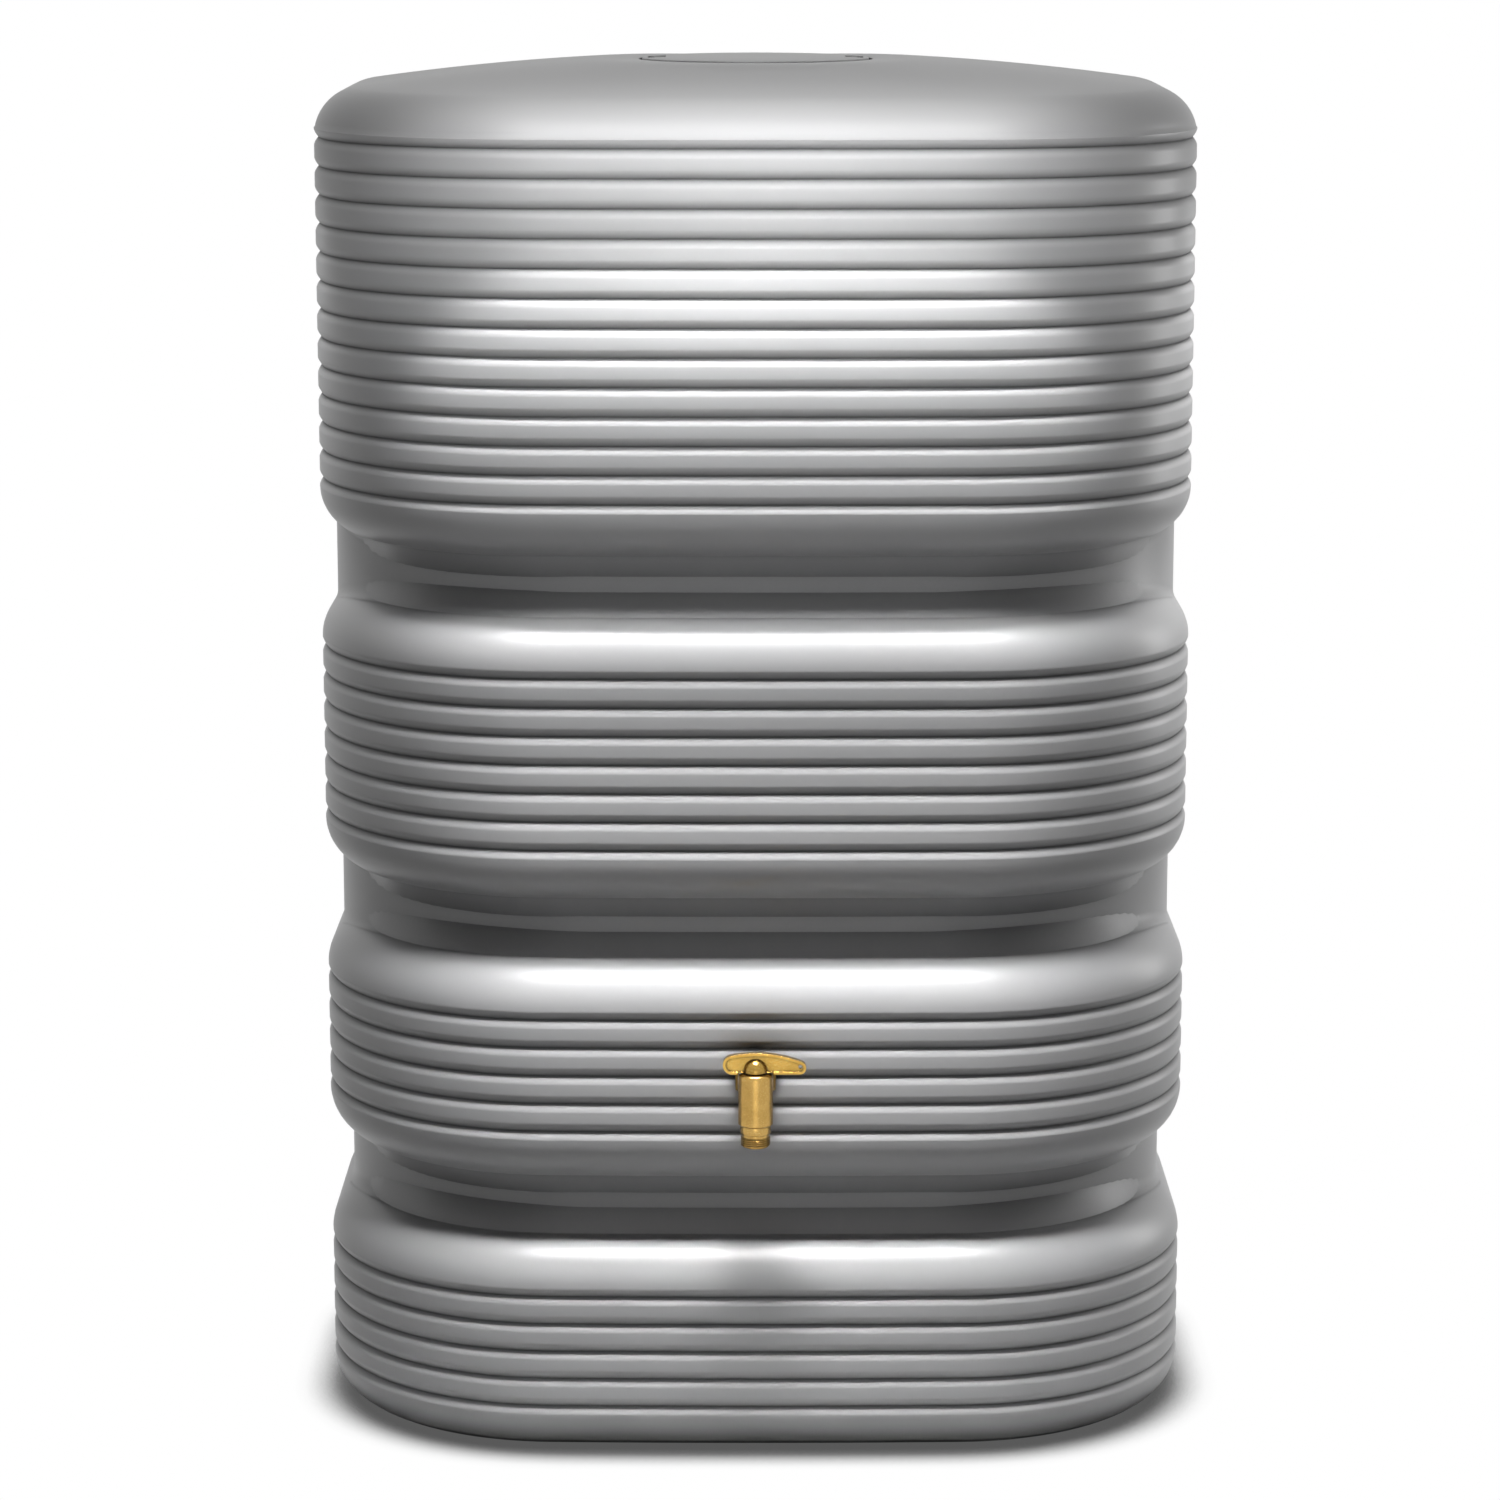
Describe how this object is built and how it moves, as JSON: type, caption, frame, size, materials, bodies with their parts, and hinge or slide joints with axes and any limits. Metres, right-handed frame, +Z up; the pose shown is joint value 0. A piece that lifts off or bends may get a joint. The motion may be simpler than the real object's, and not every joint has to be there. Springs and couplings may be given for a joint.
{
  "type": "slimline water tank",
  "caption": "Tall rounded-rectangle rainwater tank in ribbed bands with waist channels, a flush screw lid and a brass quarter-turn hose tap.",
  "frame": {"origin": "centre of the flat base, on the ground", "axes": "+X along the width, -Y towards the front with the tap, +Z up"},
  "size_m": [0.8, 0.6635, 1.247],
  "materials": {
    "tank_plastic": "satin silver-grey polyethylene",
    "lid_plastic": "satin silver-grey polyethylene",
    "brass": "plain turned brass",
    "valve_brass": "turned brass",
    "chrome_ball": "polished",
    "seat_plastic": "smooth white fluoropolymer",
    "rubber": "matt black",
    "steel": "plain"
  },
  "bodies": {
    "tank": {"tank_shell": "tank_plastic", "tap_insert": "brass", "tap_seal": "rubber", "tap_body": "brass", "inlet_seat": "seat_plastic", "outlet_seat": "seat_plastic", "outlet_nozzle": "brass", "nozzle_o_ring": "rubber"},
    "lid_seal": {"lid_gasket": "rubber"},
    "lid": {"screw_lid": "lid_plastic"},
    "lever": {"tap_handle": "brass", "handle_screw": "steel", "tap_stem": "valve_brass", "stem_o_ring": "rubber", "thrust_washer": "seat_plastic", "tap_ball": "chrome_ball"}
  },
  "joints": [
    {"name": "lid_lift", "type": "slide", "parent": "tank", "child": "lid_seal", "axis": [0, 0, 1], "range_m": [0, 0.12]},
    {"name": "lid_turn", "type": "hinge", "parent": "lid_seal", "child": "lid", "pos_m": [0, 0, 1.243], "axis": [0, 0, 1], "range_deg": [0, 180]},
    {"name": "tap_lever_turn", "type": "hinge", "parent": "tank", "child": "lever", "pos_m": [0, -0.348, 0.357], "axis": [0, 0, -1], "range_deg": [0, 90]}
  ]
}
